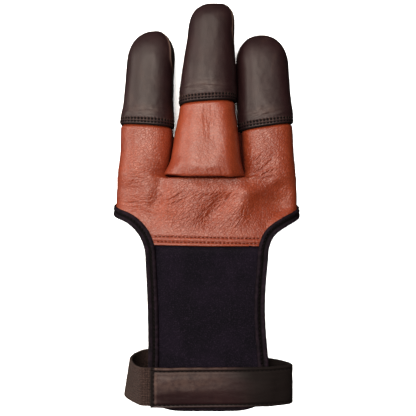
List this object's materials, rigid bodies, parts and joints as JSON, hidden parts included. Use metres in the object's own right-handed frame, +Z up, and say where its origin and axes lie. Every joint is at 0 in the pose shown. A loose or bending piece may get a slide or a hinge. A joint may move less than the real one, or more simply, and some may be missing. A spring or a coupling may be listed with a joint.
{
  "type": "archery glove",
  "caption": "Archery shooting glove: leather finger stalls on a soft leather hand part, with a stretch panel up the back and a leather and elastic wrist loop.",
  "frame": {"origin": "under the middle of the glove, on the surface it lies on", "axes": "+Y from the wrist loop to the fingertips, +X from the index finger to the ring finger, +Z up, out of the back of the hand"},
  "size_m": [0.0966, 0.2046, 0.0473],
  "materials": {
    "tan_leather": "soft satin leather",
    "brown_leather": "smooth satin leather",
    "stretch_fabric": "matt fine knit",
    "black_tape": "satin woven tape",
    "brown_elastic": "matt woven elastic",
    "black_fastener": "matt hook and loop"
  },
  "bodies": {
    "root": {"glove_body": "tan_leather", "middle_sleeve": "tan_leather", "index_stall": "brown_leather", "middle_stall": "brown_leather", "ring_stall": "brown_leather", "wrist_panel": "stretch_fabric", "edge_tape": "black_tape", "wrist_strap": "brown_leather", "strap_elastic": "brown_elastic", "strap_fastener": "black_fastener"}
  },
  "joints": []
}
